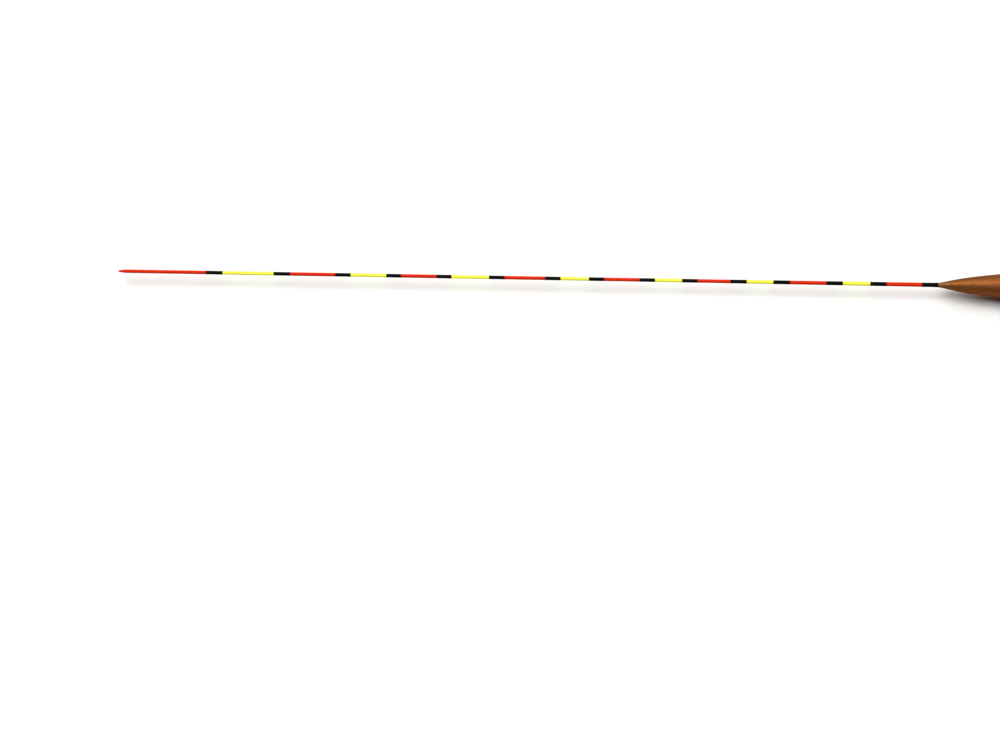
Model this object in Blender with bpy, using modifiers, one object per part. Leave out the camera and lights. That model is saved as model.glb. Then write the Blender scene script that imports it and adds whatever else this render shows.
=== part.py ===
"""Slim pole float: a ringed antenna, a lacquered spindle body and a carbon foot rod.

The float lies level on its belly. World +X runs from the antenna's tip to the end of the
foot, +Z is up, and the origin is below the middle of its length, on the surface it lies on.
Every piece is turned about the float's axis. Each piece has its own Z along that axis, with
Z = 0 at its end nearest the antenna's tip, and hangs from one empty that lays the float down.
"""

import math

import bpy
import numpy as np

MM = 0.001

# Antenna: coats from the tip to the body, in millimetres.
RED_LENGTHS = (22.9, 11.75, 9.25, 10.4, 9.05, 8.45, 9.3, 9.0)
YELLOW_LENGTHS = (13.2, 9.15, 9.6, 7.2, 6.85, 6.7, 6.9)
RING_LENGTHS = (4.25, 4.2, 3.9, 3.7, 3.75, 3.9, 3.95, 3.9, 3.85, 3.85, 4.05, 4.1, 4.1, 4.0)
TIP_RADIUS = 0.465
ROOT_RADIUS = 0.54
FLARE_LENGTH = 60.0
TIP_CONE_LENGTH = 1.6
TIP_POINT_RADIUS = 0.2
TIP_POINT_LENGTH = 0.12
TIP_SOLID_LENGTH = 0.6
COAT = 0.06
RING_STEP = 0.01
FIT_GAP = 0.02
COAT_GAP = 0.01

# Collars that bind the rods to the body.
NOSE_COLLAR_LENGTH = 4.0
TAIL_COLLAR_LENGTH = 4.0
COLLAR_SWELL = 0.03
COLLAR_LIP = 0.01
END_GAP = 0.03

# Body: a quarter sine swells from the nose to the belly, then a cosine runs out to the tail.
# The nose itself is a slim cone: the swell sets in over its first few millimetres.
BODY_LENGTH = 100.0
BELLY_RADIUS = 4.4
BELLY_START = 41.0
BELLY_END = 53.0
NOSE_RADIUS = 0.61
TAIL_RADIUS = 0.75
NOSE_POWER = 0.76
NOSE_EASE = 2.0
TAIL_POWER = 1.25
NOSE_STATIONS = 9
TAIL_STATIONS = 10
LACQUER = 0.11
CORE_INSET = 1.5

# Antenna socket, glued in the core's nose.
SOCKET_INNER_RADIUS = 0.49
SOCKET_OUTER_RADIUS = 0.61
SOCKET_INSET = 1.6
SOCKET_LENGTH = 22.5
ANTENNA_DEPTH = 20.0

# Foot rod, glued in the core's tail.
FOOT_RADIUS = 0.60
FOOT_EXPOSED = 70.0
FOOT_DEPTH = 27.7
FOOT_CHAMFER = 0.08
BORE_CLEARANCE = 0.3

BODY_SIDES = 32
ROD_SIDES = 12
MERGE_DISTANCE = 1e-6

BANDS_LENGTH = sum(RED_LENGTHS) + sum(YELLOW_LENGTHS) + sum(RING_LENGTHS)
FLARE_AT = BANDS_LENGTH - FLARE_LENGTH
BODY_AT = BANDS_LENGTH + NOSE_COLLAR_LENGTH
TOTAL_LENGTH = BODY_AT + BODY_LENGTH + FOOT_EXPOSED
AXIS_HEIGHT = BELLY_RADIUS * math.cos(math.pi / BODY_SIDES)

# name: (colour, roughness, metallic)
FINISHES = {
    "red_lacquer": ((0.78, 0.025, 0.006), 0.32, 0.0),
    "yellow_lacquer": ((0.95, 0.96, 0.08), 0.32, 0.0),
    "black_lacquer": ((0.006, 0.006, 0.005), 0.30, 0.0),
    "copper_lacquer": ((0.30, 0.13, 0.045), 0.28, 0.55),
    "fibreglass": ((0.72, 0.72, 0.62), 0.45, 0.0),
    "balsa": ((0.66, 0.47, 0.27), 0.75, 0.0),
    "carbon": ((0.018, 0.018, 0.020), 0.38, 0.0),
}


def clear_scene():
    """Remove every object, so that the file holds only the float."""
    for obj in list(bpy.data.objects):
        bpy.data.objects.remove(obj, do_unlink=True)


def make_collection():
    """Add the collection that holds the float's pieces."""
    collection = bpy.data.collections.new("pole_float")
    bpy.context.scene.collection.children.link(collection)
    return collection


def make_axis(collection):
    """Add the empty that lays the float's axis along world X, with a belly facet underneath."""
    axis = bpy.data.objects.new("float_axis", None)
    axis.rotation_mode = "ZYX"
    axis.rotation_euler = (0.0, math.pi / 2, math.pi / BODY_SIDES)
    axis.location = (0.0, 0.0, AXIS_HEIGHT * MM)
    collection.objects.link(axis)
    return axis


def make_finish(node, finish):
    """Give a node a Principled material of its own."""
    colour, roughness, metallic = FINISHES[finish]
    material = bpy.data.materials.new(f"{node}_{finish}")
    material.use_nodes = True
    shader = material.node_tree.nodes["Principled BSDF"]
    shader.inputs["Base Color"].default_value = (*colour, 1.0)
    shader.inputs["Roughness"].default_value = roughness
    shader.inputs["Metallic"].default_value = metallic
    return material


class Turner:
    """Turns profiles into the float's pieces, on its axis."""

    def __init__(self, collection, axis):
        self.collection = collection
        self.axis = axis

    def turn(self, name, finish, start, profile, ring=False, sides=ROD_SIDES):
        """Turn one piece.

        start is where the piece begins, measured from the antenna's tip. profile is a list of
        (radius, z), with z measured from start. It runs down the outer side, towards the tip.
        A ring's profile closes on itself, and any other starts and ends on the axis.
        """
        points = [(radius * MM, 0.0, z * MM) for radius, z in profile]
        edges = [(i, i + 1) for i in range(len(points) - 1)]
        if ring:
            edges.append((len(points) - 1, 0))
        mesh = bpy.data.meshes.new(name)
        mesh.from_pydata(points, edges, [])
        piece = bpy.data.objects.new(name, mesh)
        piece.parent = self.axis
        piece.location = (0.0, 0.0, (start - TOTAL_LENGTH / 2) * MM)
        screw = piece.modifiers.new("turned", "SCREW")
        screw.axis = "Z"
        screw.angle = 2 * math.pi
        screw.steps = sides
        screw.render_steps = sides
        screw.use_merge_vertices = True
        screw.merge_threshold = MERGE_DISTANCE
        screw.use_smooth_shade = True
        mesh.materials.append(make_finish(name, finish))
        self.collection.objects.link(piece)
        return piece


def antenna_radius(s):
    """Radius over the coats, s millimetres from the tip: even, then a slight flare."""
    flare = max(0.0, s - FLARE_AT) / FLARE_LENGTH
    return TIP_RADIUS + (ROOT_RADIUS - TIP_RADIUS) * flare


def rod_radius(s):
    """Radius of the bare antenna rod under the coats."""
    return antenna_radius(s) - COAT - COAT_GAP


def body_stations():
    """Places along the body, from its nose, where its outline has a point."""
    nose = np.linspace(0.0, BELLY_START, NOSE_STATIONS + 1)
    tail = np.linspace(BELLY_END, BODY_LENGTH, TAIL_STATIONS + 1)
    return np.concatenate((nose, tail))


def body_radius(t):
    """Outer radius of the lacquered body, t millimetres from its nose."""
    if t <= BELLY_START:
        swell = math.sin(math.pi / 2 * t / BELLY_START) ** NOSE_POWER
        swell *= 1.0 - math.exp(-t / NOSE_EASE)
        return NOSE_RADIUS + (BELLY_RADIUS - NOSE_RADIUS) * swell
    if t <= BELLY_END:
        return BELLY_RADIUS
    run = (t - BELLY_END) / (BODY_LENGTH - BELLY_END)
    swell = max(0.0, math.cos(math.pi / 2 * run)) ** TAIL_POWER
    return TAIL_RADIUS + (BELLY_RADIUS - TAIL_RADIUS) * swell


def make_antenna_rod(turner):
    """Solid pointed rod, from inside the tip's coat to its root in the socket."""
    start = TIP_SOLID_LENGTH + FIT_GAP
    root = BODY_AT + ANTENNA_DEPTH
    cone_end = TIP_CONE_LENGTH + FIT_GAP
    profile = [
        (0.0, root - start),
        (rod_radius(BANDS_LENGTH), root - start),
        (rod_radius(BANDS_LENGTH), BANDS_LENGTH - start),
        (rod_radius(FLARE_AT), FLARE_AT - start),
        (rod_radius(cone_end), cone_end - start),
        (0.0, 0.0),
    ]
    turner.turn("antenna_rod", "fibreglass", start, profile)


def make_tip_band(turner, name, length):
    """The first coat: a cup that closes over the antenna's point."""
    profile = [
        (0.0, TIP_SOLID_LENGTH),
        (antenna_radius(TIP_CONE_LENGTH) - COAT, TIP_CONE_LENGTH),
        (antenna_radius(length) - COAT, length),
        (antenna_radius(length), length),
        (antenna_radius(TIP_CONE_LENGTH), TIP_CONE_LENGTH),
        (TIP_POINT_RADIUS, TIP_POINT_LENGTH),
        (0.0, 0.0),
    ]
    turner.turn(name, "red_lacquer", 0.0, profile)


def make_coat(turner, name, finish, start, length, step=0.0):
    """One band or ring of lacquer round the rod. step is how far it stands proud."""
    low = antenna_radius(start)
    high = antenna_radius(start + length)
    profile = [
        (high + step, length),
        (low + step, 0.0),
        (low - COAT, 0.0),
        (high - COAT, length),
    ]
    turner.turn(name, finish, start, profile, ring=True)


def make_bands(turner):
    """Red and yellow bands in turn, from the tip, with a black ring on each side of a yellow."""
    at = 0.0
    rings = 0
    for index, red in enumerate(RED_LENGTHS):
        name = f"band_red_{index + 1:02d}"
        if index == 0:
            make_tip_band(turner, name, red - COAT_GAP)
        else:
            make_coat(turner, name, "red_lacquer", at, red - COAT_GAP)
        at += red
        if index == len(YELLOW_LENGTHS):
            break
        for part in ("ring", "yellow", "ring"):
            if part == "yellow":
                length = YELLOW_LENGTHS[index]
                name = f"band_yellow_{index + 1:02d}"
                make_coat(turner, name, "yellow_lacquer", at, length - COAT_GAP)
            else:
                length = RING_LENGTHS[rings]
                rings += 1
                name = f"ring_black_{rings:02d}"
                make_coat(turner, name, "black_lacquer", at, length - COAT_GAP, RING_STEP)
            at += length


def make_nose_collar(turner):
    """Black binding over the rod, flared to the body's nose."""
    length = NOSE_COLLAR_LENGTH - END_GAP
    profile = [
        (NOSE_RADIUS - COLLAR_LIP, length),
        (ROOT_RADIUS + COLLAR_SWELL, length / 2),
        (ROOT_RADIUS + COLLAR_LIP, 0.0),
        (SOCKET_INNER_RADIUS, 0.0),
        (SOCKET_INNER_RADIUS, length),
    ]
    turner.turn("nose_collar", "black_lacquer", BANDS_LENGTH, profile, ring=True)


def make_antenna_socket(turner):
    """Thin tube in the core's nose that the antenna's root is glued into."""
    profile = [
        (SOCKET_OUTER_RADIUS, SOCKET_LENGTH),
        (SOCKET_OUTER_RADIUS, 0.0),
        (SOCKET_INNER_RADIUS, 0.0),
        (SOCKET_INNER_RADIUS, SOCKET_LENGTH),
    ]
    start = BODY_AT + SOCKET_INSET
    turner.turn("antenna_socket", "fibreglass", start, profile, ring=True)


def make_body_lacquer(turner):
    """Glossy coat over the whole core, open at both ends for the rods."""
    stations = body_stations()
    outer = [(body_radius(t), t) for t in reversed(stations)]
    inner = [(body_radius(t) - LACQUER, t) for t in stations]
    turner.turn("body_lacquer", "copper_lacquer", BODY_AT, outer + inner, True, BODY_SIDES)


def make_body_core(turner):
    """Turned wood spindle, bored at the nose for the socket and at the tail for the foot."""
    stations = body_stations()
    radii = [body_radius(t) - LACQUER - FIT_GAP for t in stations]
    nose = CORE_INSET
    tail = BODY_LENGTH - CORE_INSET
    inside = [t for t in stations if nose < t < tail]
    outline = [nose, *inside, tail]
    outer = [(float(np.interp(t, stations, radii)), t) for t in reversed(outline)]
    foot_bore = FOOT_RADIUS + FIT_GAP
    foot_floor = BODY_LENGTH - FOOT_DEPTH - BORE_CLEARANCE
    nose_bore = SOCKET_OUTER_RADIUS + FIT_GAP
    nose_floor = SOCKET_INSET + SOCKET_LENGTH + BORE_CLEARANCE
    profile = [
        (0.0, foot_floor),
        (foot_bore, foot_floor),
        (foot_bore, tail),
        *outer,
        (nose_bore, nose),
        (nose_bore, nose_floor),
        (0.0, nose_floor),
    ]
    turner.turn("body_core", "balsa", BODY_AT, profile, sides=BODY_SIDES)


def make_foot_rod(turner):
    """Carbon rod with a flat cut end, glued in the core's tail."""
    length = FOOT_DEPTH + FOOT_EXPOSED
    profile = [
        (0.0, length),
        (FOOT_RADIUS - FOOT_CHAMFER, length),
        (FOOT_RADIUS, length - FOOT_CHAMFER),
        (FOOT_RADIUS, 0.0),
        (0.0, 0.0),
    ]
    start = BODY_AT + BODY_LENGTH - FOOT_DEPTH
    turner.turn("foot_rod", "carbon", start, profile)


def make_tail_collar(turner):
    """Black binding round the foot rod, run down from the body's tail."""
    bore = FOOT_RADIUS + FIT_GAP
    length = TAIL_COLLAR_LENGTH - END_GAP
    profile = [
        (bore + COLLAR_SWELL, length),
        (bore + 2 * COLLAR_SWELL, length / 2),
        (TAIL_RADIUS - COLLAR_LIP, 0.0),
        (bore, 0.0),
        (bore, length),
    ]
    start = BODY_AT + BODY_LENGTH + END_GAP
    turner.turn("tail_collar", "black_lacquer", start, profile, ring=True)


def main():
    """Build the whole float."""
    clear_scene()
    collection = make_collection()
    turner = Turner(collection, make_axis(collection))
    make_antenna_rod(turner)
    make_bands(turner)
    make_nose_collar(turner)
    make_antenna_socket(turner)
    make_body_core(turner)
    make_body_lacquer(turner)
    make_foot_rod(turner)
    make_tail_collar(turner)


main()
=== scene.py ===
"""Slim pole float, dressed for the studio.

The float lies along X on its belly, with the antenna's tip at -X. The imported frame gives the
place and length of every piece. This file gives each piece its fine shape and its finish:
masked lacquer bands on the antenna, flake lacquer on the body, black collars, a carbon foot.
"""

import logging
import math
from collections.abc import Callable
from dataclasses import dataclass, field
from enum import Enum
from typing import Any

import bmesh
import bpy
from mathutils import Euler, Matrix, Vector, noise


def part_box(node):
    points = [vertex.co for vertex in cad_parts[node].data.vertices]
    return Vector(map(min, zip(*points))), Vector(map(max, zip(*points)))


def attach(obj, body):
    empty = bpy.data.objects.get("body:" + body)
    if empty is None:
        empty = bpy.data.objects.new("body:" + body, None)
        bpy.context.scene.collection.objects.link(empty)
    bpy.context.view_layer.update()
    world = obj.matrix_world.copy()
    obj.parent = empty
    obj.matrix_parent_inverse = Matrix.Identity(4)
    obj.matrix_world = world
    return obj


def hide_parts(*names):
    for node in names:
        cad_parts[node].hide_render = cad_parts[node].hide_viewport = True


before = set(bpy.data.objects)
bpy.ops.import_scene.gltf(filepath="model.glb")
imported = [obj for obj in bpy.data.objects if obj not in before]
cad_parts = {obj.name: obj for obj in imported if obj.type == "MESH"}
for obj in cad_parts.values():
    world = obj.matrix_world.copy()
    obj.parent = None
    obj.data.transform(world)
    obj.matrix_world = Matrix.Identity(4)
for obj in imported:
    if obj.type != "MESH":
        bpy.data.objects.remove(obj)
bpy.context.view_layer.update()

ROOT_BODY = "root"
MM = 0.001

# The colour sockets of Blender's mix node, which share their names with its other sockets.
MIX_FIRST = 6
MIX_SECOND = 7
MIX_RESULT = 2

# Index of refraction of lacquer and resin, and near enough for wood.
RESIN_IOR = 1.5

# Detail of the noises: each whole step adds a layer of features half the size.
SMOOTH = 2.0
STREAKY = 3.0
CLOUDY = 4.0
FIBROUS = 5.0

# Facets in each rounded edge, and the angle above which an edge stays sharp, in degrees.
EDGE_STEPS = 5
SHARP_ANGLE = 50.0

# Points lie closer than the usual spacing at the antenna's tip, and further apart in a bore.
TIP_FINER = 3
BORE_COARSER = 4

# The "film" attribute of a coat: 0 is even lacquer and 1 is pooled. Above 1 it is rubbed thin.
WEAR_STARTS = 1.05
WEAR_FULL = 1.8
WORN_OUT = 2.0

log = logging.getLogger("pole_float")


# ---------------------------------------------------------------------------
# Small tools
# ---------------------------------------------------------------------------


def linear(hex_code: str) -> tuple[float, float, float, float]:
    """Turn an sRGB hex colour into the linear colour that shaders take.

    Args:
        hex_code: Six hex digits, such as "b5702f".

    Returns:
        Linear red, green, blue and an alpha of 1.
    """
    channels = [int(hex_code[i : i + 2], 16) / 255 for i in (0, 2, 4)]
    straight = [c / 12.92 if c <= 0.04045 else ((c + 0.055) / 1.055) ** 2.4 for c in channels]
    return (straight[0], straight[1], straight[2], 1.0)


def per_mm(size: float) -> float:
    """Return the texture scale, per metre, whose features are size millimetres long."""
    return 1.0 / (size * MM)


def add_node(
    tree: bpy.types.NodeTree,
    kind: str,
    settings: dict[str, Any] | None = None,
    sockets: dict[str | int, Any] | None = None,
) -> bpy.types.Node:
    """Add a node with its settings and links.

    Args:
        tree: The node tree that gets the node.
        kind: The node's Blender type name.
        settings: Values for the node's own properties.
        sockets: For each input, the output socket that feeds it or the value that it holds.

    Returns:
        The new node.
    """
    node = tree.nodes.new(kind)
    for key, value in (settings or {}).items():
        setattr(node, key, value)
    for key, value in (sockets or {}).items():
        if isinstance(value, bpy.types.NodeSocket):
            tree.links.new(value, node.inputs[key])
        else:
            node.inputs[key].default_value = value
    return node


def new_material(name: str) -> tuple[bpy.types.Material, bpy.types.NodeTree]:
    """Make a material with an empty node tree.

    Args:
        name: The material's name.

    Returns:
        The material and its tree.
    """
    material = bpy.data.materials.new(name)
    material.use_nodes = True
    material.node_tree.nodes.clear()
    return material, material.node_tree


def grained(tree: bpy.types.NodeTree, along: float, across: float, detail: float) -> bpy.types.Node:
    """Add a noise stretched along the float's axis.

    Args:
        tree: The material's node tree.
        along: Length of a streak along X, in millimetres.
        across: Width of a streak, in millimetres.
        detail: The noise's detail.

    Returns:
        The noise node.
    """
    place = add_node(tree, "ShaderNodeTexCoord")
    stretch = (per_mm(along), per_mm(across), per_mm(across))
    sized = add_node(
        tree, "ShaderNodeMapping", sockets={"Vector": place.outputs["Object"], "Scale": stretch}
    )
    return add_node(
        tree,
        "ShaderNodeTexNoise",
        sockets={"Vector": sized.outputs["Vector"], "Scale": 1.0, "Detail": detail},
    )


def blend(tree: bpy.types.NodeTree, share: Any, none: Any, full: Any) -> bpy.types.NodeSocket:
    """Mix two colours.

    Args:
        tree: The material's node tree.
        share: The socket that tells how much of the second colour shows.
        none: The first colour, or the socket that gives it.
        full: The second colour, or the socket that gives it.

    Returns:
        The socket of the mixed colour.
    """
    sockets = {"Factor": share, MIX_FIRST: none, MIX_SECOND: full}
    return add_node(tree, "ShaderNodeMix", {"data_type": "RGBA"}, sockets).outputs[MIX_RESULT]


def uneven(
    tree: bpy.types.NodeTree, pattern: bpy.types.Node, mean: float, below: float, above: float
) -> bpy.types.NodeSocket:
    """Let a roughness follow a pattern.

    Args:
        tree: The material's node tree.
        pattern: The noise that it follows.
        mean: The roughness.
        below: How far it drops below that at the pattern's lowest.
        above: How far it rises above that at the pattern's highest.

    Returns:
        The socket of the roughness.
    """
    sockets = {"Value": pattern.outputs["Fac"], "To Min": mean - below, "To Max": mean + above}
    return add_node(tree, "ShaderNodeMapRange", sockets=sockets).outputs["Result"]


# ---------------------------------------------------------------------------
# Finishes
# ---------------------------------------------------------------------------


@dataclass(frozen=True)
class MaskedLacquer:
    """Pigmented lacquer, brushed on between masking tapes and left to level.

    Attributes:
        name: The material's name.
        slot: The record's material slot. Not used.
        even: Hex colour where the film is of even thickness.
        pooled: Hex colour where it pooled, against the masked edges.
        worn: Hex colour where it is rubbed thin, over the primer.
        roughness: Roughness of the levelled film.
        specular: Specular level of the film.
        streak_along: Length of a brush streak, in millimetres.
        streak_across: Width of a brush streak, in millimetres.
        streak_share: How much the streaks count beside the film's thickness.
        thin_film: Thickness, streaks counted, up to which the even colour shows.
        thick_film: Thickness from which the pooled colour shows.
        ripple: Size of the ripple of the levelled film, in millimetres.
        ripple_depth: Its depth, in millimetres.
        ripple_strength: How much of that depth tells in the reflections.
        glossier: How far the roughness drops in the ripple's hollows.
        duller: How far it rises on its crests.
    """

    name: str
    slot: str
    even: str
    pooled: str
    worn: str
    roughness: float
    specular: float
    streak_along: float = 5.0
    streak_across: float = 0.30
    streak_share: float = 0.55
    thin_film: float = 0.15
    thick_film: float = 1.2
    ripple: float = 0.45
    ripple_depth: float = 0.004
    ripple_strength: float = 0.6
    glossier: float = 0.05
    duller: float = 0.08

    def build(self) -> bpy.types.Material:
        """Build the material.

        Returns:
            The finished material.
        """
        material, tree = new_material(self.name)
        streaks = grained(tree, self.streak_along, self.streak_across, STREAKY)
        film = add_node(tree, "ShaderNodeAttribute", {"attribute_name": "film"})
        streaked = add_node(
            tree,
            "ShaderNodeMath",
            {"operation": "MULTIPLY_ADD"},
            {0: streaks.outputs["Fac"], 1: self.streak_share, 2: film.outputs["Fac"]},
        )
        depth = add_node(
            tree,
            "ShaderNodeMapRange",
            sockets={
                "Value": streaked.outputs["Value"],
                "From Min": self.thin_film,
                "From Max": self.thick_film,
            },
        )
        colour = blend(tree, depth.outputs["Result"], linear(self.even), linear(self.pooled))
        rubbed = add_node(
            tree,
            "ShaderNodeMapRange",
            sockets={"Value": film.outputs["Fac"], "From Min": WEAR_STARTS, "From Max": WEAR_FULL},
        )
        shown = blend(tree, rubbed.outputs["Result"], colour, linear(self.worn))
        ripples = grained(tree, self.ripple, self.ripple, SMOOTH)
        relief = add_node(
            tree,
            "ShaderNodeBump",
            sockets={
                "Height": ripples.outputs["Fac"],
                "Distance": self.ripple_depth * MM,
                "Strength": self.ripple_strength,
            },
        )
        shader = add_node(
            tree,
            "ShaderNodeBsdfPrincipled",
            sockets={
                "Base Color": shown,
                "Roughness": uneven(tree, ripples, self.roughness, self.glossier, self.duller),
                "IOR": RESIN_IOR,
                "Specular IOR Level": self.specular,
                "Normal": relief.outputs["Normal"],
            },
        )
        add_node(tree, "ShaderNodeOutputMaterial", sockets={"Surface": shader.outputs["BSDF"]})
        return material


@dataclass(frozen=True)
class FlakeLacquer:
    """Copper brown lacquer with metal flake, sprayed over sealed wood and rubbed down.

    The flakes lie nearly flat in the film and mirror the light in a warm band, so the body is
    tan where it faces the lamp and falls off fast to dark brown. Real flakes are 0.05 mm. They
    are drawn as cells of 0.16 mm, which is as coarse as it takes for them to show. A few random
    cells are painted a lighter colour as glints: painted highlights that stay whatever the lamp.

    Attributes:
        name: The material's name.
        slot: The record's material slot. Not used.
        bright: Hex colour of the flakes that lie flat.
        deep: Hex colour of the film between them.
        thin: Hex colour at the nose, where the film is thin over primer.
        spark: Hex colour painted on a few random flakes as glints: a painted highlight, lighter
            under any lamp.
        cloud_along: Length of a cloud in the film, in millimetres.
        cloud_across: Width of a cloud, in millimetres.
        flake: Size of a flake as it is drawn, in millimetres.
        spark_share: Share of the flakes that get the painted glint colour.
        spark_strength: How much of the painted glint colour they get.
        tilt: How far the flakes lean from the surface.
        thin_start: Where the thin film at the nose starts to thicken, in millimetres.
        thin_length: How far it reaches from the nose, in millimetres.
        thin_fray: How far its edge wanders, in millimetres.
        thin_share: How much of it shows at the nose.
        peel_along: Length of the sprayed film's orange peel, in millimetres.
        peel_across: Its width, in millimetres.
        peel_depth: Its depth, in millimetres.
        peel_strength: How much of that depth tells in the reflections.
        roughness: Roughness of the rubbed film.
        glossier: How far the roughness drops in the deep clouds.
        duller: How far it rises in the bright ones.
        metallic: Share of the surface that the flakes cover.
        rim: Hex colour of the reflection where the surface turns away.
        specular: Specular level of the resin between the flakes.
    """

    name: str = "copper_flake_lacquer_sprayed"
    slot: str = "copper_lacquer"
    bright: str = "854f28"
    deep: str = "75431e"
    thin: str = "6e5b3d"
    # Painted glints: a lighter colour on a few random flakes, whatever the lamp.
    spark: str = "ae8465"
    cloud_along: float = 9.0
    cloud_across: float = 2.2
    flake: float = 0.16
    spark_share: float = 0.10
    spark_strength: float = 0.45
    tilt: float = 0.18
    thin_start: float = 0.4
    thin_length: float = 3.2
    thin_fray: float = 1.6
    thin_share: float = 0.9
    peel_along: float = 1.1
    peel_across: float = 0.8
    peel_depth: float = 0.010
    peel_strength: float = 0.5
    roughness: float = 0.34
    glossier: float = 0.06
    duller: float = 0.08
    metallic: float = 0.34
    rim: str = "3f3830"
    specular: float = 0.02

    def build(self) -> bpy.types.Material:
        """Build the material.

        Returns:
            The finished material.
        """
        material, tree = new_material(self.name)
        place = add_node(tree, "ShaderNodeTexCoord").outputs["Object"]
        cloud = grained(tree, self.cloud_along, self.cloud_across, CLOUDY)
        base = blend(tree, cloud.outputs["Fac"], linear(self.deep), linear(self.bright))
        cells = add_node(
            tree,
            "ShaderNodeTexVoronoi",
            sockets={"Vector": place, "Scale": per_mm(self.flake)},
        )
        # A few random cells take the lighter glint colour: painted highlights, not real
        # reflections.
        cell_tone = add_node(tree, "ShaderNodeSeparateColor", sockets={"Color": cells.outputs["Color"]})
        painted_glint_mask = add_node(
            tree,
            "ShaderNodeMapRange",
            sockets={
                "Value": cell_tone.outputs["Red"],
                "From Min": 1.0 - self.spark_share,
                "To Max": self.spark_strength,
            },
        )
        flakes_with_painted_glints = blend(tree, painted_glint_mask.outputs["Result"], base, linear(self.spark))
        along = add_node(tree, "ShaderNodeSeparateXYZ", sockets={"Vector": place})
        edge = add_node(
            tree,
            "ShaderNodeMath",
            {"operation": "MULTIPLY_ADD"},
            {0: cloud.outputs["Fac"], 1: self.thin_fray * MM, 2: along.outputs["X"]},
        )
        worn = add_node(
            tree,
            "ShaderNodeMapRange",
            {"interpolation_type": "SMOOTHSTEP"},
            {
                "Value": edge.outputs["Value"],
                "From Min": self.thin_start * MM,
                "From Max": (self.thin_length + self.thin_fray) * MM,
                "To Min": self.thin_share,
                "To Max": 0.0,
            },
        )
        colour = blend(tree, worn.outputs["Result"], flakes_with_painted_glints, linear(self.thin))
        leaning = add_node(
            tree,
            "ShaderNodeVectorMath",
            {"operation": "MULTIPLY_ADD"},
            {0: cells.outputs["Color"], 1: (2 * self.tilt,) * 3, 2: (-self.tilt,) * 3},
        )
        orange_peel = grained(tree, self.peel_along, self.peel_across, SMOOTH)
        relief = add_node(
            tree,
            "ShaderNodeBump",
            sockets={
                "Height": orange_peel.outputs["Fac"],
                "Distance": self.peel_depth * MM,
                "Strength": self.peel_strength,
            },
        )
        leant = add_node(
            tree,
            "ShaderNodeVectorMath",
            {"operation": "ADD"},
            {0: relief.outputs["Normal"], 1: leaning.outputs["Vector"]},
        )
        facing = add_node(
            tree, "ShaderNodeVectorMath", {"operation": "NORMALIZE"}, {0: leant.outputs["Vector"]}
        )
        shader = add_node(
            tree,
            "ShaderNodeBsdfPrincipled",
            sockets={
                "Base Color": colour,
                "Metallic": self.metallic,
                "Roughness": uneven(tree, cloud, self.roughness, self.glossier, self.duller),
                "Specular IOR Level": self.specular,
                "Specular Tint": linear(self.rim),
                "Normal": facing.outputs["Vector"],
            },
        )
        add_node(tree, "ShaderNodeOutputMaterial", sockets={"Surface": shader.outputs["BSDF"]})
        return material


@dataclass(frozen=True)
class GrainedRod:
    """A drawn or turned stock whose fibres run along the float.

    Attributes:
        name: The material's name.
        slot: The record's material slot. Not used.
        pale: Hex colour of the light fibres.
        dark: Hex colour of the dark ones.
        fibre_along: Length of a streak, in millimetres.
        fibre_across: Width of a streak, in millimetres.
        roughness: Roughness of the surface.
        depth: Depth of the grain, in millimetres.
        depth_strength: How much of that depth tells in the reflections.
        variance: How far the roughness drops and rises with the fibres.
    """

    name: str
    slot: str
    pale: str
    dark: str
    fibre_along: float
    fibre_across: float
    roughness: float
    depth: float
    depth_strength: float = 0.7
    variance: float = 0.08

    def build(self) -> bpy.types.Material:
        """Build the material.

        Returns:
            The finished material.
        """
        material, tree = new_material(self.name)
        fibres = grained(tree, self.fibre_along, self.fibre_across, FIBROUS)
        relief = add_node(
            tree,
            "ShaderNodeBump",
            sockets={
                "Height": fibres.outputs["Fac"],
                "Distance": self.depth * MM,
                "Strength": self.depth_strength,
            },
        )
        shader = add_node(
            tree,
            "ShaderNodeBsdfPrincipled",
            sockets={
                "Base Color": blend(
                    tree, fibres.outputs["Fac"], linear(self.dark), linear(self.pale)
                ),
                "Roughness": uneven(tree, fibres, self.roughness, self.variance, self.variance),
                "IOR": RESIN_IOR,
                "Normal": relief.outputs["Normal"],
            },
        )
        add_node(tree, "ShaderNodeOutputMaterial", sockets={"Surface": shader.outputs["BSDF"]})
        return material


# Fluorescent orange red lacquer: flat and very saturated, deeper where it pooled at the tape.
RED = MaskedLacquer(
    name="fluorescent_red_lacquer_masked",
    slot="red_lacquer",
    even="dc2a05",
    pooled="b91802",
    worn="7a3216",
    roughness=0.45,
    specular=0.05,
)
# Fluorescent lemon lacquer: nearly as light as the table, slightly greener where it pooled.
YELLOW = MaskedLacquer(
    name="fluorescent_yellow_lacquer_masked",
    slot="yellow_lacquer",
    even="fafc51",
    pooled="e9ee3d",
    worn="d8d8a0",
    roughness=0.45,
    specular=0.05,
)
# Black lacquer: deep, with a thin grey line of light along the top.
BLACK = MaskedLacquer(
    name="black_lacquer_masked",
    slot="black_lacquer",
    even="060605",
    pooled="030303",
    worn="1c1a18",
    roughness=0.34,
    specular=0.03,
)
COPPER = FlakeLacquer()
# Pultruded fibreglass: milky, with straight fibres 0.1 mm wide.
FIBREGLASS = GrainedRod(
    name="pultruded_fibreglass",
    slot="fibreglass",
    pale="efeee2",
    dark="d9d7c6",
    fibre_along=30.0,
    fibre_across=0.1,
    roughness=0.45,
    depth=0.004,
)
# Turned balsa: pale and dull, with pores in lines 0.4 mm apart.
BALSA = GrainedRod(
    name="turned_balsa",
    slot="balsa",
    pale="dcc096",
    dark="b8935f",
    fibre_along=12.0,
    fibre_across=0.4,
    roughness=0.75,
    depth=0.03,
)
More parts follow.
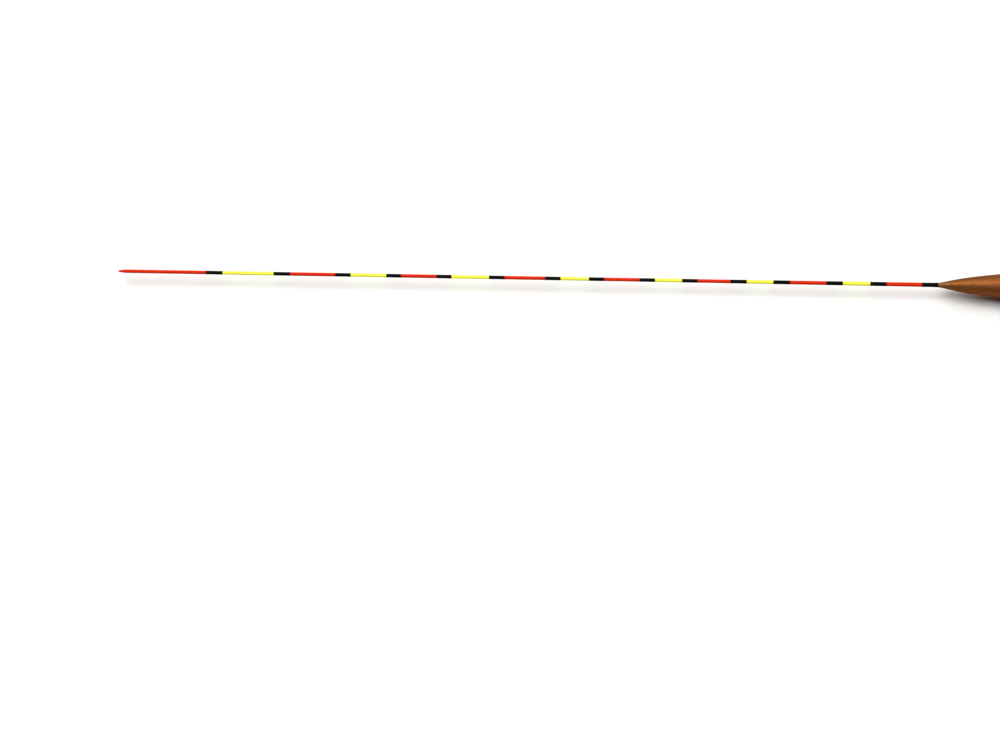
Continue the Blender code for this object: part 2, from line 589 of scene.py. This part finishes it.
# Ground carbon rod: near black, satin, with fibre lines drawn 0.12 mm wide so that they show.
CARBON = GrainedRod(
    name="ground_carbon_rod",
    slot="carbon",
    pale="35353a",
    dark="141416",
    fibre_along=25.0,
    fibre_across=0.12,
    roughness=0.36,
    depth=0.006,
)

Finish = MaskedLacquer | FlakeLacquer | GrainedRod


class Paint(Enum):
    """The lacquers of the antenna's coats, by the start of the node's name."""

    RED = ("band_red", RED)
    YELLOW = ("band_yellow", YELLOW)
    BLACK = ("ring_black", BLACK)

    @property
    def prefix(self) -> str:
        """Start of the names of the nodes that wear this paint."""
        return self.value[0]

    @property
    def finish(self) -> MaskedLacquer:
        """The lacquer itself."""
        return self.value[1]


class Paintbox:
    """Keeps one built material for each finish."""

    def __init__(self) -> None:
        """Start with no materials."""
        self._built: dict[str, bpy.types.Material] = {}

    def material(self, finish: Finish) -> bpy.types.Material:
        """Find a finish's material, and build it the first time that it is asked for.

        Args:
            finish: The finish.

        Returns:
            Its material.
        """
        if finish.name not in self._built:
            self._built[finish.name] = finish.build()
        return self._built[finish.name]


# ---------------------------------------------------------------------------
# Turned shapes
# ---------------------------------------------------------------------------


@dataclass(frozen=True)
class Knot:
    """A point of a half outline.

    Attributes:
        x: Distance along the axis from the piece's own start, in millimetres.
        radius: Distance from the axis, in millimetres.
        film: The lacquer here: 0 is even, 1 is pooled, and above 1 it is rubbed thin.
        relief: How much of the surface relief this point takes, from 0 to 1.
    """

    x: float
    radius: float
    film: float = 0.0
    relief: float = 0.0


@dataclass
class Turning:
    """A closed shape turned about X from a half outline.

    Attributes:
        name: The piece's name.
        outline: The half outline. It closes on itself, or starts and ends on the axis.
        segments: Number of points round the axis.
        relief: Surface relief in millimetres for a place and an angle, or None.
    """

    name: str
    outline: list[Knot]
    segments: int = 48
    relief: Callable[[float, float], float] | None = None

    def build(self, start: Vector, material: bpy.types.Material) -> bpy.types.Object:
        """Build the shape.

        Args:
            start: Where the piece's own start lies, on the float's axis, in metres.
            material: The piece's material.

        Returns:
            The new object.
        """
        shape = bmesh.new()
        film = shape.verts.layers.float.new("film")
        rows = [self._row(shape, film, knot) for knot in self.outline]
        pairs = list(zip(rows, rows[1:], strict=False))
        if len(rows[0]) > 1:
            pairs.append((rows[-1], rows[0]))
        for low, high in pairs:
            self._skin(shape, low, high)
        bmesh.ops.recalc_face_normals(shape, faces=shape.faces)
        mesh = bpy.data.meshes.new(self.name)
        shape.to_mesh(mesh)
        shape.free()
        mesh.materials.append(material)
        mesh.shade_smooth()
        mesh.set_sharp_from_angle(angle=math.radians(SHARP_ANGLE))
        piece = bpy.data.objects.new(self.name, mesh)
        piece.location = start
        bpy.context.scene.collection.objects.link(piece)
        return piece

    def _row(self, shape: bmesh.types.BMesh, film: Any, knot: Knot) -> list[bmesh.types.BMVert]:
        """Add the ring of points of one knot, or one point if the knot is on the axis.

        Args:
            shape: The mesh that is being made.
            film: Its layer for the "film" attribute.
            knot: The point of the outline.

        Returns:
            The new points, in order round the axis.
        """
        if knot.radius == 0.0:
            tip = shape.verts.new((knot.x * MM, 0.0, 0.0))
            tip[film] = knot.film
            return [tip]
        row = []
        for step in range(self.segments):
            angle = 2 * math.pi * step / self.segments
            radius = knot.radius
            if self.relief is not None:
                radius += knot.relief * self.relief(knot.x, angle)
            point = (knot.x * MM, radius * MM * math.sin(angle), -radius * MM * math.cos(angle))
            vert = shape.verts.new(point)
            vert[film] = knot.film
            row.append(vert)
        return row

    @staticmethod
    def _skin(
        shape: bmesh.types.BMesh, low: list[bmesh.types.BMVert], high: list[bmesh.types.BMVert]
    ) -> None:
        """Join two neighbouring rings with faces.

        Args:
            shape: The mesh that is being made.
            low: The points of one ring.
            high: The points of the next.
        """
        count = max(len(low), len(high))
        for step in range(count):
            after = (step + 1) % count
            corners = [low[step % len(low)], low[after % len(low)]]
            corners += [high[after % len(high)], high[step % len(high)]]
            shape.faces.new(list(dict.fromkeys(corners)))


def spread(start: float, end: float, spacing: float) -> list[float]:
    """Return evenly spread places from start to end, about spacing apart."""
    count = max(1, math.ceil(abs(end - start) / spacing))
    return [start + (end - start) * i / count for i in range(count + 1)]


def sleeve(
    length: float,
    outer: Callable[[float], float],
    inner: Callable[[float], float],
    edge: float,
    spacing: float,
    film: Callable[[float], float],
) -> list[Knot]:
    """Outline a tube whose two outer edges are rounded over.

    Args:
        length: Length of the tube, in millimetres.
        outer: Outer radius at a place.
        inner: Inner radius at a place.
        edge: Radius of the rounded edges.
        spacing: Spacing of the points along it.
        film: How far the lacquer pooled at a place, from 0 to 1.

    Returns:
        The closed outline.
    """
    knots = [Knot(0.0, inner(0.0))]
    for i in range(EDGE_STEPS):
        turn = math.pi / 2 * i / EDGE_STEPS
        x = edge * (1 - math.cos(turn))
        knots.append(Knot(x, outer(x) - edge * (1 - math.sin(turn)), film(x)))
    knots += [Knot(x, outer(x), film(x), 1.0) for x in spread(edge, length - edge, spacing)]
    for i in reversed(range(EDGE_STEPS)):
        turn = math.pi / 2 * i / EDGE_STEPS
        x = length - edge * (1 - math.cos(turn))
        knots.append(Knot(x, outer(x) - edge * (1 - math.sin(turn)), film(x)))
    knots += [Knot(x, inner(x)) for x in spread(length, 0.0, BORE_COARSER * spacing)[:-1]]
    return knots


def settle(piece: bpy.types.Object, finish: Finish, node: str) -> None:
    """Tie a new piece to the frame.

    Args:
        piece: The piece.
        finish: Its finish, which names the record's slot.
        node: The frame's node that it stands for.
    """
    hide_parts(node)
    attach(piece, ROOT_BODY)
    log.info("%s stands for %s in %s", piece.name, node, finish.name)


def node_start(node: str) -> Vector:
    """Return the point where a node starts, on the float's axis."""
    low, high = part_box(node)
    return Vector((low[0], (low[1] + high[1]) / 2, (low[2] + high[2]) / 2))


def node_length(node: str) -> float:
    """Return a node's length along the float, in millimetres."""
    low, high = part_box(node)
    return (high[0] - low[0]) / MM


# ---------------------------------------------------------------------------
# The float
# ---------------------------------------------------------------------------


@dataclass
class Antenna:
    """The ringed antenna: one coat for each band and ring, over the frame's rod.

    Sizes are in millimetres.

    Attributes:
        paints: The built materials.
        tip_radius: Radius over the coats along the even part.
        root_radius: Radius over the coats at the nose collar.
        flare_length: Length over which the one grows to the other.
        coat: Thickness of a coat.
        ring_step: How far a black ring stands proud.
        edge: Radius of a coat's rounded edges.
        bead: Height of the bead of lacquer left against the masking tape.
        bead_width: Width of that bead.
        cone_length: Length of the rod's pointed end under the first coat.
        taper: Length of the coat's own taper, in cone lengths.
        shoulder: Where its even part starts, in cone lengths.
        point_radius: Radius of the very point.
        worn_length: How far the wear at the point reaches.
        pocket: Where the first coat's inside starts, on the axis.
        ripple: Height of the film's ripple.
        ripple_rate: How fast the ripple changes, per millimetre.
        spacing: Spacing of the points along a coat.
        segments: Number of points round a coat.
    """

    paints: Paintbox
    tip_radius: float = 0.465
    root_radius: float = 0.54
    flare_length: float = 60.0
    coat: float = 0.06
    ring_step: float = 0.01
    edge: float = 0.018
    bead: float = 0.010
    bead_width: float = 0.30
    cone_length: float = 1.6
    taper: float = 1.35
    shoulder: float = 1.5
    point_radius: float = 0.20
    worn_length: float = 0.55
    pocket: float = 0.6
    ripple: float = 0.004
    ripple_rate: float = 0.6
    spacing: float = 0.25
    segments: int = 40

    def __post_init__(self) -> None:
        """Find where the antenna starts and how far its coats run."""
        self.start = node_start(f"{Paint.RED.prefix}_01")
        self.length = (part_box("nose_collar")[0][0] - self.start.x) / MM

    def radius(self, s: float) -> float:
        """Return the radius over the coats, s millimetres from the tip."""
        flare = max(0.0, s - self.length + self.flare_length) / self.flare_length
        return self.tip_radius + (self.root_radius - self.tip_radius) * flare

    def pooled(self, x: float, length: float) -> float:
        """Tell how far the lacquer pooled.

        Args:
            x: A place along the coat, in millimetres.
            length: The coat's length, in millimetres.

        Returns:
            The share of pooled lacquer, from 0 to 1.
        """
        gap = min(x, length - x) / self.bead_width
        return math.exp(-gap * gap)

    def wear(self, x: float) -> float:
        """Return the film at the antenna's point: worn through, and fading to even."""
        return WORN_OUT * math.exp(-((x / self.worn_length) ** 2))

    def relief(self, offset: float) -> Callable[[float, float], float]:
        """Make the low ripple of a brushed film.

        Args:
            offset: Where the coat starts, in millimetres from the antenna's tip.

        Returns:
            The ripple in millimetres, for a place along the coat and an angle round it.
        """

        def ripple(x: float, angle: float) -> float:
            """Return the ripple in millimetres."""
            place = Vector(((offset + x) * self.ripple_rate, math.sin(angle), math.cos(angle)))
            return self.ripple * noise.noise(place)

        return ripple

    def build_coat(self, node: str, paint: Paint) -> bpy.types.Object:
        """Build one band or ring.

        Args:
            node: The frame's node for it.
            paint: Its paint.

        Returns:
            The new piece.
        """
        start = node_start(node)
        offset = (start.x - self.start.x) / MM
        length = node_length(node)
        proud = self.ring_step if paint is Paint.BLACK else 0.0

        def outer(x: float) -> float:
            """Return the outer radius."""
            return self.radius(offset + x) + proud + self.bead * self.pooled(x, length)

        def inner(x: float) -> float:
            """Return the inner radius."""
            return self.radius(offset + x) - self.coat

        def film(x: float) -> float:
            """Return how far the lacquer pooled."""
            return self.pooled(x, length)

        outline = sleeve(length, outer, inner, self.edge, self.spacing, film)
        if offset == 0.0:
            outline = self.tip_outline(length, outer, inner, film)
        shape = Turning(f"{node}_coat", outline, self.segments, self.relief(offset))
        return shape.build(start, self.paints.material(paint.finish))

    def tip_outline(
        self,
        length: float,
        outer: Callable[[float], float],
        inner: Callable[[float], float],
        film: Callable[[float], float],
    ) -> list[Knot]:
        """Outline the first coat, which closes over the antenna's point.

        Args:
            length: Length of the coat, in millimetres.
            outer: Outer radius at a place.
            inner: Inner radius at a place.
            film: How far the lacquer pooled at a place, from 0 to 1.

        Returns:
            The outline, from the point round to the pocket on the axis.
        """
        cone = self.cone_length
        shoulder = self.shoulder * cone
        knots = [Knot(0.0, 0.0, WORN_OUT)]
        for i in range(1, EDGE_STEPS + 1):
            turn = math.pi / 2 * i / EDGE_STEPS
            x = self.point_radius * (1 - math.cos(turn))
            knots.append(Knot(x, self.point_radius * math.sin(turn), self.wear(x)))
        for x in spread(self.point_radius, shoulder, self.spacing / TIP_FINER)[1:]:
            along = min(1.0, (x - self.point_radius) / (self.taper * cone))
            ease = 1 - (1 - along) ** 2
            radius = self.point_radius + (self.radius(x) - self.point_radius) * ease
            knots.append(Knot(x, radius, self.wear(x)))
        last = length - self.edge
        knots += [Knot(x, outer(x), film(x), 1.0) for x in spread(shoulder, last, self.spacing)[1:]]
        knots.append(Knot(length, outer(length) - self.edge, 1.0))
        knots.append(Knot(length, inner(length)))
        bore_spacing = BORE_COARSER * self.spacing
        knots += [Knot(x, inner(x)) for x in spread(length, shoulder, bore_spacing)[1:]]
        knots.append(Knot(cone, inner(cone)))
        knots.append(Knot(self.pocket, 0.0))
        return knots

    def build(self) -> None:
        """Build every coat."""
        for paint in Paint:
            names = sorted(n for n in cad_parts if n.startswith(paint.prefix))
            for node in names:
                settle(self.build_coat(node, paint), paint.finish, node)


@dataclass
class Collars:
    """The black lacquered bindings where the two rods meet the body.

    Sizes are in millimetres.

    Attributes:
        paints: The built materials.
        rod_radius: Radius of the antenna over its coats.
        nose_radius: Radius of the nose collar at the body.
        nose_bore: Radius of its bore.
        foot_radius: Radius of the tail collar at its free end.
        tail_radius: Its radius at the body.
        tail_bore: Radius of its bore.
        edge: Radius of the rounded edges.
        bead_width: Width of the pooled lacquer at the ends.
        wrap: Height of the thread wrap under the free end.
        wrap_share: Share of the collar that the wrap takes.
        lap: How far the nose collar laps over the last coat.
        flare: Power of the flare's curve.
        spacing: Spacing of the points along a collar.
        segments: Number of points round it.
    """

    paints: Paintbox
    rod_radius: float = 0.54
    nose_radius: float = 0.60
    nose_bore: float = 0.49
    foot_radius: float = 0.66
    tail_radius: float = 0.74
    tail_bore: float = 0.62
    edge: float = 0.02
    bead_width: float = 0.3
    wrap: float = 0.02
    wrap_share: float = 1 / 3
    lap: float = 0.012
    flare: float = 2.4
    spacing: float = 0.12
    segments: int = 56

    def build_collar(self, node: str, low: float, high: float, bore: float, rising: bool) -> None:
        """Build one collar.

        Args:
            node: The frame's node for it.
            low: Radius at its free end.
            high: Radius at the body.
            bore: Radius of its bore.
            rising: Whether it grows towards +X.
        """
        length = node_length(node)

        def outer(x: float) -> float:
            """Add a low wrap at the free end to the flare.

            Args:
                x: A place along the collar, in millimetres.

            Returns:
                The outer radius there.
            """
            share = x / length if rising else 1 - x / length
            wrap = self.wrap * math.sin(math.pi * min(1.0, share / self.wrap_share))
            return low + (high - low) * share**self.flare + wrap

        def inner(_: float) -> float:
            """Return the bore's radius, the same all along."""
            return bore

        def film(x: float) -> float:
            """Return how far the lacquer pooled."""
            return math.exp(-((min(x, length - x) / self.bead_width) ** 2))

        outline = sleeve(length, outer, inner, self.edge, self.spacing, film)
        shape = Turning(f"{node}_lacquer", outline, self.segments)
        piece = shape.build(node_start(node), self.paints.material(BLACK))
        settle(piece, BLACK, node)

    def build(self) -> None:
        """Build both collars."""
        low = self.rod_radius + self.lap
        self.build_collar("nose_collar", low, self.nose_radius, self.nose_bore, rising=True)
        self.build_collar(
            "tail_collar", self.foot_radius, self.tail_radius, self.tail_bore, rising=False
        )


@dataclass
class Spindle:
    """The lacquered body, a shell over the frame's wooden core.

    Sizes are in millimetres, and places along the body are counted from its nose.

    Attributes:
        paints: The built materials.
        nose_radius: Radius at the nose.
        tail_radius: Radius at the tail.
        belly_start: Where the belly starts.
        belly_end: Where it ends.
        nose_power: Power of the swell from the nose.
        nose_ease: Length over which that swell sets in.
        tail_power: Power of the run to the tail.
        wall: Thickness of the shell.
        edge: Radius of the rounded ends.
        waviness: Depth of the hollows that hand rubbing left.
        wave_rate: How fast they change along the body, per millimetre.
        wave_turn: How fast they change round it.
        rest_power: How narrow the true strip is along the line that the body rests on.
        spacing: Spacing of the points along the shell.
        segments: Number of points round it.
        node: The frame's node for it.
    """

    paints: Paintbox
    nose_radius: float = 0.61
    tail_radius: float = 0.75
    belly_start: float = 41.0
    belly_end: float = 53.0
    nose_power: float = 0.76
    nose_ease: float = 2.0
    tail_power: float = 1.25
    wall: float = 0.09
    edge: float = 0.03
    waviness: float = 0.010
    wave_rate: float = 0.11
    wave_turn: float = 1.3
    rest_power: int = 8
    spacing: float = 0.5
    segments: int = 128
    node: str = field(default="body_lacquer", init=False)

    def __post_init__(self) -> None:
        """Read the body's length and the radius that its belly rests on."""
        low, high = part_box(self.node)
        self.length = node_length(self.node)
        self.belly_radius = (high[2] - low[2]) / 2 / MM

    def radius(self, t: float) -> float:
        """Follow the swell from the nose, the belly and the run to the tail.

        Args:
            t: A place along the body, in millimetres.

        Returns:
            The outer radius there.
        """
        if t <= self.belly_start:
            share = max(0.0, t) / self.belly_start
            swell = math.sin(math.pi / 2 * share) ** self.nose_power
            swell *= 1.0 - math.exp(-max(0.0, t) / self.nose_ease)
            return self.nose_radius + (self.belly_radius - self.nose_radius) * swell
        if t <= self.belly_end:
            return self.belly_radius
        share = min(1.0, (t - self.belly_end) / (self.length - self.belly_end))
        swell = math.cos(math.pi / 2 * share) ** self.tail_power if share < 1.0 else 0.0
        return self.tail_radius + (self.belly_radius - self.tail_radius) * swell

    def relief(self, t: float, angle: float) -> float:
        """Tell how far a hand-rubbed film dips below true. It never stands proud.

        Args:
            t: A place along the body, in millimetres.
            angle: An angle round it, from the line that it rests on.

        Returns:
            The dip in millimetres, zero or less, and zero on the line that it rests on.
        """
        turn = self.wave_turn
        place = Vector((t * self.wave_rate, turn * math.sin(angle), turn * math.cos(angle)))
        dip = 0.5 + 0.5 * noise.noise(place)
        resting = min(1.0, abs(angle - math.pi) / math.pi)
        return -self.waviness * dip * (1 - resting**self.rest_power)

    def build(self) -> None:
        """Build the shell."""

        def inner(t: float) -> float:
            """Return the radius under the lacquer."""
            return self.radius(t) - self.wall

        outline = sleeve(self.length, self.radius, inner, self.edge, self.spacing, lambda _: 0.0)
        shape = Turning("body_flake_coat", outline, self.segments, self.relief)
        piece = shape.build(node_start(self.node), self.paints.material(COPPER))
        settle(piece, COPPER, self.node)


@dataclass
class Foot:
    """The carbon foot rod, cut square with its edge broken.

    Sizes are in millimetres.

    Attributes:
        paints: The built materials.
        radius: Radius of the rod.
        chamfer: Size of the broken edge.
        face_rings: Rings of points on the cut face, as shares of the radius.
        spacing: Spacing of the points along the rod.
        segments: Number of points round it.
        node: The frame's node for it.
    """

    paints: Paintbox
    radius: float = 0.60
    chamfer: float = 0.08
    face_rings: tuple[float, ...] = (0.7, 0.35, 0.0)
    spacing: float = 1.0
    segments: int = 56
    node: str = field(default="foot_rod", init=False)

    def build(self) -> None:
        """Build the rod."""
        length = node_length(self.node)
        knots = [Knot(0.0, 0.0), Knot(0.0, self.radius - self.chamfer)]
        last = length - self.chamfer
        knots += [Knot(x, self.radius) for x in spread(self.chamfer, last, self.spacing)]
        for i in range(1, EDGE_STEPS):
            turn = math.pi / 2 * i / (EDGE_STEPS - 1)
            back = self.chamfer * (1 - math.sin(turn))
            knots.append(Knot(length - back, self.radius - self.chamfer * (1 - math.cos(turn))))
        knots += [Knot(length, share * self.radius) for share in self.face_rings]
        shape = Turning("foot_carbon_rod", knots, self.segments)
        settle(shape.build(node_start(self.node), self.paints.material(CARBON)), CARBON, self.node)


@dataclass
class Inside:
    """The pieces that stay as the frame has them, held inside the others."""

    paints: Paintbox

    def build(self) -> None:
        """Give each kept node its finish."""
        kept = {"antenna_rod": FIBREGLASS, "antenna_socket": FIBREGLASS, "body_core": BALSA}
        for node, finish in kept.items():
            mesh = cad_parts[node].data
            mesh.materials.clear()
            mesh.materials.append(self.paints.material(finish))
            log.info("%s keeps its shape, in %s", node, finish.name)


# ---------------------------------------------------------------------------
# The studio
# ---------------------------------------------------------------------------


@dataclass(frozen=True)
class Lamp:
    """A wide round lamp, so far off that it lights the table evenly.

    Attributes:
        name: The lamp's name.
        width: Its width as seen from the float, in degrees.
        behind: How far it leans from overhead to behind the float, in degrees.
        strength: Light on a face turned to it, in watts per square metre.
    """

    name: str
    width: float
    behind: float
    strength: float

    def build(self) -> None:
        """Hang the lamp."""
        light = bpy.data.lights.new(self.name, "SUN")
        light.angle = math.radians(self.width)
        light.energy = self.strength
        lamp = bpy.data.objects.new(self.name, light)
        lamp.rotation_euler = (math.radians(-self.behind), 0.0, 0.0)
        bpy.context.scene.collection.objects.link(lamp)


@dataclass
class Studio:
    """A pale table top, two broad soft lamps, overhead and behind, and the camera.

    Lengths are in metres and angles in degrees.

    Attributes:
        floor_radius: Radius of the table top.
        floor_sides: Number of points round it.
        floor_hex: Its hex colour.
        floor_roughness: Its least and greatest roughness.
        floor_specular: Its specular level.
        mottle: Size of the board's faint mottle, in millimetres.
        lamps: The lamps.
        backdrop_hex: Hex colour of the backdrop.
        backdrop: Its brightness to the camera. Everything else sees it as dark.
        camera_place: Where the camera is.
        camera_turn: How it is turned, about X, Y and Z.
        lens: Its focal length, in millimetres.
        clip_start: The nearest distance that it sees.
    """

    floor_radius: float = 3.0
    floor_sides: int = 96
    floor_hex: str = "f4f3f1"
    floor_roughness: tuple[float, float] = (0.82, 0.94)
    floor_specular: float = 0.2
    mottle: float = 14.0
    lamps: tuple[Lamp, ...] = (
        Lamp("soft_lamp_overhead", width=45.0, behind=8.9, strength=2.53),
        Lamp("soft_lamp_behind", width=60.0, behind=37.5, strength=1.90),
    )
    backdrop_hex: str = "ffffff"
    backdrop: float = 1.0
    camera_place: tuple[float, float, float] = (-0.07732, -0.13183, 0.36459)
    camera_turn: tuple[float, float, float] = (16.424, 1.605, 1.626)
    lens: float = 54.0
    clip_start: float = 0.01

    def build_floor(self) -> None:
        """Build the table top: a disc of matt white board."""
        shape = bmesh.new()
        bmesh.ops.create_circle(
            shape, cap_ends=True, radius=self.floor_radius, segments=self.floor_sides
        )
        mesh = bpy.data.meshes.new("table_top")
        shape.to_mesh(mesh)
        shape.free()
        floor = bpy.data.objects.new("table_top", mesh)
        bpy.context.scene.collection.objects.link(floor)
        material, tree = new_material("matt_white_board")
        mottle = grained(tree, self.mottle, self.mottle, STREAKY)
        smoothest, roughest = self.floor_roughness
        roughness = add_node(
            tree,
            "ShaderNodeMapRange",
            sockets={"Value": mottle.outputs["Fac"], "To Min": smoothest, "To Max": roughest},
        )
        shader = add_node(
            tree,
            "ShaderNodeBsdfPrincipled",
            sockets={
                "Base Color": linear(self.floor_hex),
                "Roughness": roughness.outputs["Result"],
                "Specular IOR Level": self.floor_specular,
            },
        )
        add_node(tree, "ShaderNodeOutputMaterial", sockets={"Surface": shader.outputs["BSDF"]})
        mesh.materials.append(material)

    def build_sky(self) -> None:
        """Put a white backdrop behind the table, which gives no light of its own."""
        world = bpy.data.worlds.new("studio_room")
        bpy.context.scene.world = world
        world.use_nodes = True
        tree = world.node_tree
        tree.nodes.clear()
        seen = add_node(tree, "ShaderNodeLightPath")
        strength = add_node(
            tree,
            "ShaderNodeMapRange",
            sockets={"Value": seen.outputs["Is Camera Ray"], "To Max": self.backdrop},
        )
        glow = add_node(
            tree,
            "ShaderNodeBackground",
            sockets={
                "Color": linear(self.backdrop_hex),
                "Strength": strength.outputs["Result"],
            },
        )
        add_node(tree, "ShaderNodeOutputWorld", sockets={"Surface": glow.outputs["Background"]})

    def build_camera(self) -> None:
        """Set up the camera, high over the antenna and looking down."""
        data = bpy.data.cameras.new("camera")
        data.lens = self.lens
        data.clip_start = self.clip_start
        camera = bpy.data.objects.new("camera", data)
        camera.location = self.camera_place
        camera.rotation_euler = Euler([math.radians(angle) for angle in self.camera_turn])
        bpy.context.scene.collection.objects.link(camera)
        bpy.context.scene.camera = camera

    def build(self) -> None:
        """Build the whole studio."""
        self.build_floor()
        for lamp in self.lamps:
            lamp.build()
        self.build_sky()
        self.build_camera()
        bpy.context.scene.view_settings.view_transform = "Standard"


def main() -> None:
    """Dress the float and set up the studio."""
    logging.basicConfig(level=logging.INFO, format="%(name)s: %(message)s")
    paints = Paintbox()
    Antenna(paints).build()
    Collars(paints).build()
    Spindle(paints).build()
    Foot(paints).build()
    Inside(paints).build()
    Studio().build()


if __name__ == "__main__":
    main()
